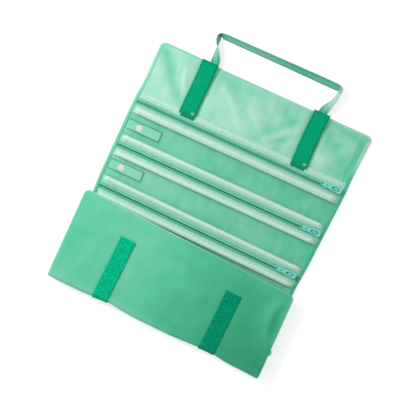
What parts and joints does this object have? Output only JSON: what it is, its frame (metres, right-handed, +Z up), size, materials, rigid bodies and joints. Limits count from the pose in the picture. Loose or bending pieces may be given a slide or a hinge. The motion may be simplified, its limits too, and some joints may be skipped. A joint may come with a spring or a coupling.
{
  "type": "jewelry roll",
  "caption": "Padded velvet roll that folds closed over zipped clear pockets, with hook straps, a folded lower flap and a ribbon handle.",
  "frame": {"origin": "on the underside of the base panel, midway between the middle fold and the low fold, on the roll's centre line", "axes": "+X across the roll to the zip pulls' end, +Y along the cloth to the handle, +Z up from the table"},
  "size_m": [0.2861, 0.3617, 0.0194],
  "materials": {
    "velvet": "short pile velvet, mint green",
    "lining": "short pile velvet, pale mint",
    "foam": "thin foam padding",
    "tape": "woven zip tape, pale mint",
    "coil": "nylon coil, dark green",
    "slider": "teal enamel, glossy",
    "film": "clear soft vinyl film",
    "hook": "hook tape, emerald",
    "loop": "loop tape, emerald",
    "ribbon": "satin ribbon, green",
    "snap": "glossy off-white"
  },
  "bodies": {
    "base": {"base_shell": "velvet", "base_padding": "foam", "base_lining": "lining", "zip_3_upper_tape": "tape", "zip_3_lower_tape": "tape", "zip_3_coil": "coil", "window_3": "film", "pocket_3_hem": "tape"},
    "spine": {"spine_shell": "velvet", "spine_padding": "foam", "spine_lining": "lining", "window_2": "film", "keeper_2_strap": "lining", "keeper_2_socket": "snap"},
    "top": {"top_shell": "velvet", "top_padding": "foam", "top_lining": "lining", "zip_1_upper_tape": "tape", "zip_1_lower_tape": "tape", "zip_1_coil": "coil", "window_1": "film", "zip_2_upper_tape": "tape", "zip_2_lower_tape": "tape", "zip_2_coil": "coil", "hook_backing_left": "ribbon", "hook_tape_left": "hook", "hook_backing_right": "ribbon", "hook_tape_right": "hook", "handle_root_left": "ribbon", "handle_root_right": "ribbon", "keeper_1_strap": "lining", "keeper_1_socket": "snap"},
    "low_fold": {"low_fold_shell": "velvet", "low_fold_padding": "foam", "low_fold_lining": "lining"},
    "flap": {"flap_shell": "velvet", "flap_padding": "foam", "flap_lining": "lining", "loop_strip_left": "loop", "loop_strip_right": "loop", "zip_4_upper_tape": "tape", "zip_4_lower_tape": "tape", "zip_4_coil": "coil", "window_4": "film", "pocket_4_hem": "tape"},
    "slider_1": {"zip_1_slider": "slider"},
    "slider_2": {"zip_2_slider": "slider"},
    "slider_3": {"zip_3_slider": "slider"},
    "slider_4": {"zip_4_slider": "slider"},
    "pull_1": {"zip_1_pull": "slider"},
    "pull_2": {"zip_2_pull": "slider"},
    "pull_3": {"zip_3_pull": "slider"},
    "pull_4": {"zip_4_pull": "slider"},
    "handle": {"handle": "ribbon"},
    "keeper_1": {"keeper_1_leaf": "lining", "keeper_1_cap": "snap"},
    "keeper_2": {"keeper_2_leaf": "lining", "keeper_2_cap": "snap"}
  },
  "joints": [
    {"name": "close_lower", "type": "hinge", "parent": "base", "child": "spine", "pos_m": [0, 0.06767, 0.0034], "axis": [1, 0, 0], "range_deg": [0, 90], "deforming": ["window_2"]},
    {"name": "close_upper", "type": "hinge", "parent": "spine", "child": "top", "pos_m": [0, 0.09258, 0.0034], "axis": [1, 0, 0], "range_deg": [0, 90], "deforming": ["window_2"]},
    {"name": "flap_lower", "type": "hinge", "parent": "base", "child": "low_fold", "pos_m": [-0.0084, -0.06767, 0.0034], "axis": [0.9995, -0.0325, 0], "range_deg": [0, 90], "deforming": ["low_fold_shell"]},
    {"name": "flap_upper", "type": "hinge", "parent": "low_fold", "child": "flap", "pos_m": [-0.0084, -0.06767, 0.0148], "axis": [0.9995, -0.0325, 0], "range_deg": [0, 90], "deforming": ["low_fold_shell"]},
    {"name": "zip_1_slide", "type": "slide", "parent": "top", "child": "slider_1", "axis": [-1, 0, 0], "range_m": [0, 0.2289], "deforming": ["zip_1_coil"]},
    {"name": "zip_2_slide", "type": "slide", "parent": "top", "child": "slider_2", "axis": [-1, 0, 0], "range_m": [0, 0.2272], "deforming": ["zip_2_coil"]},
    {"name": "zip_3_slide", "type": "slide", "parent": "base", "child": "slider_3", "axis": [-0.9998, 0.0175, 0], "range_m": [0, 0.2212], "deforming": ["zip_3_coil"]},
    {"name": "zip_4_slide", "type": "slide", "parent": "flap", "child": "slider_4", "axis": [-0.9995, 0.0325, 0], "range_m": [0, 0.241], "deforming": ["zip_4_coil"]},
    {"name": "zip_1_pull", "type": "hinge", "parent": "slider_1", "child": "pull_1", "pos_m": [0.10875, 0.16587, 0.00825], "axis": [0, -1, 0], "range_deg": [0, 180]},
    {"name": "zip_2_pull", "type": "hinge", "parent": "slider_2", "child": "pull_2", "pos_m": [0.10694, 0.10877, 0.00825], "axis": [0, -1, 0], "range_deg": [0, 180]},
    {"name": "zip_3_pull", "type": "hinge", "parent": "slider_3", "child": "pull_3", "pos_m": [0.10089, 0.05121, 0.00825], "axis": [-0.0175, -0.9998, 0], "range_deg": [0, 180]},
    {"name": "zip_4_pull", "type": "hinge", "parent": "slider_4", "child": "pull_4", "pos_m": [0.11221, -0.04418, 0.00995], "axis": [0.0325, 0.9995, 0], "range_deg": [0, 14]},
    {"name": "handle_swing", "type": "hinge", "parent": "top", "child": "handle", "pos_m": [0, 0.24488, 0.00395], "axis": [-1, 0, 0], "range_deg": [-90, 0]},
    {"name": "keeper_1_open", "type": "hinge", "parent": "top", "child": "keeper_1", "pos_m": [-0.09401, 0.13537, 0.0039], "axis": [0, -1, 0], "range_deg": [-175, 0], "deforming": ["window_1"]},
    {"name": "keeper_2_open", "type": "hinge", "parent": "spine", "child": "keeper_2", "pos_m": [-0.09412, 0.08317, 0.0039], "axis": [0, -1, 0], "range_deg": [-175, 0], "deforming": ["window_2"]}
  ],
  "couplings": [
    {"joint": "close_upper", "follows": "close_lower", "ratio": 1},
    {"joint": "flap_upper", "follows": "flap_lower", "ratio": 1}
  ]
}
